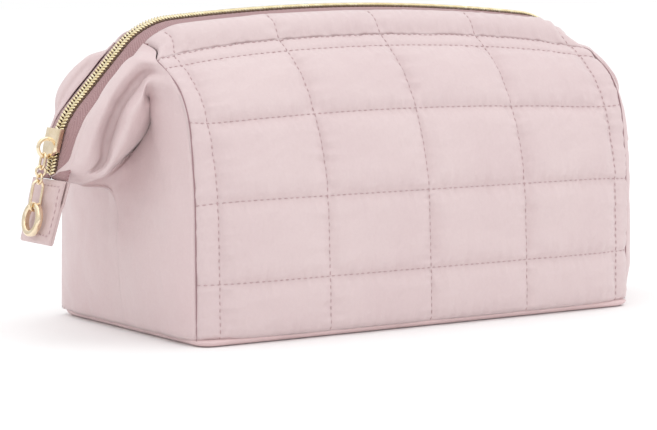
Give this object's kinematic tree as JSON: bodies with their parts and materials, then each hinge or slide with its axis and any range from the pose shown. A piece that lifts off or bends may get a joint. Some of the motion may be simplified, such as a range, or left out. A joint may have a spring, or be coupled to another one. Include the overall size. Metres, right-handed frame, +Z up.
{
  "type": "makeup bag",
  "caption": "Quilted satin makeup pouch with padded walls, a wide wire-framed mouth closed by a coil zip, folded end tabs and a chained ring pull.",
  "frame": {"origin": "centre of the base's underside", "axes": "+X along the bag's length, -Y out of the quilted front, +Z up"},
  "size_m": [0.2902, 0.115, 0.1275],
  "materials": {
    "satin": "pale dusty pink satin, quilted",
    "satin_plain": "pale dusty pink satin, plain",
    "lining": "plain woven lining",
    "wadding": "polyester wadding",
    "tape": "herringbone twill",
    "gold_coil": "metallised coil, pale gold",
    "gold": "polished pale gold",
    "spring_wire": "drawn spring wire"
  },
  "bodies": {
    "bag": {"base_panel": "satin_plain", "base_wadding": "wadding", "base_lining": "lining", "front_panel": "satin", "front_wadding": "wadding", "front_lining": "lining", "front_panel_upper": "satin", "front_wadding_upper": "wadding", "front_lining_upper": "lining", "back_panel": "satin", "back_wadding": "wadding", "back_lining": "lining", "back_panel_upper": "satin", "back_wadding_upper": "wadding", "back_lining_upper": "lining", "left_gusset": "satin_plain", "left_gusset_lining": "lining", "left_bellows_front": "satin_plain", "left_bellows_back": "satin_plain", "right_gusset": "satin_plain", "right_gusset_lining": "lining", "right_bellows_front": "satin_plain", "right_bellows_back": "satin_plain"},
    "front_mouth": {"front_hem": "satin", "front_wire": "spring_wire", "front_zip_tape": "tape", "front_zip_coil": "gold_coil"},
    "back_mouth": {"back_hem": "satin", "back_wire": "spring_wire", "back_zip_tape": "tape", "back_zip_coil": "gold_coil"},
    "left_zip_end": {"left_zip_tab": "tape"},
    "right_zip_end": {"right_zip_tab": "tape"},
    "slider": {"zip_slider": "gold"},
    "oval_link": {"oval_link": "gold"},
    "round_link": {"round_link": "gold"},
    "small_link": {"small_link": "gold"},
    "long_link": {"long_link": "gold"},
    "pull_ring": {"pull_ring": "gold"}
  },
  "joints": [
    {"name": "front_mouth_open", "type": "hinge", "parent": "bag", "child": "front_mouth", "pos_m": [0, -0.0272, 0.076], "axis": [1, 0, 0], "range_deg": [0, 56], "deforming": ["front_panel_upper", "front_wadding_upper", "front_lining_upper", "left_bellows_front", "right_bellows_front", "front_zip_tape", "front_zip_coil"]},
    {"name": "back_mouth_open", "type": "hinge", "parent": "bag", "child": "back_mouth", "pos_m": [0, 0.0272, 0.076], "axis": [-1, 0, 0], "range_deg": [0, 56], "deforming": ["back_panel_upper", "back_wadding_upper", "back_lining_upper", "left_bellows_back", "right_bellows_back", "back_zip_tape", "back_zip_coil"]},
    {"name": "left_zip_end_rise", "type": "slide", "parent": "bag", "child": "left_zip_end", "axis": [0, 0, 1], "range_m": [0, 0.0291]},
    {"name": "right_zip_end_rise", "type": "slide", "parent": "bag", "child": "right_zip_end", "axis": [0, 0, 1], "range_m": [0, 0.0291]},
    {"name": "slider_travel", "type": "hinge", "parent": "front_mouth", "child": "slider", "pos_m": [-0.10193, 0, 0.06599], "axis": [0, 1, 0], "range_deg": [0, 22]},
    {"name": "oval_link_swing", "type": "hinge", "parent": "slider", "child": "oval_link", "pos_m": [-0.14177, 0, 0.07163], "axis": [0, 1, 0], "range_deg": [0, 75]},
    {"name": "round_link_swing", "type": "hinge", "parent": "oval_link", "child": "round_link", "pos_m": [-0.14284, 0, 0.06659], "axis": [0.9781, 0, -0.2079], "range_deg": [-50, 50]},
    {"name": "small_link_swing", "type": "hinge", "parent": "round_link", "child": "small_link", "pos_m": [-0.14345, 0, 0.0637], "axis": [0, 1, 0], "range_deg": [0, 35]},
    {"name": "long_link_swing", "type": "hinge", "parent": "small_link", "child": "long_link", "pos_m": [-0.14402, 0, 0.06106], "axis": [0.9781, 0, -0.2079], "range_deg": [-50, 50]},
    {"name": "pull_ring_swing", "type": "hinge", "parent": "long_link", "child": "pull_ring", "pos_m": [-0.14597, 0, 0.05187], "axis": [0, 1, 0], "range_deg": [0, 35]}
  ],
  "couplings": [
    {"joint": "back_mouth_open", "follows": "front_mouth_open", "ratio": 1},
    {"joint": "left_zip_end_rise", "follows": "front_mouth_open", "m_per_rad": 0.029671},
    {"joint": "right_zip_end_rise", "follows": "front_mouth_open", "m_per_rad": 0.029671}
  ]
}
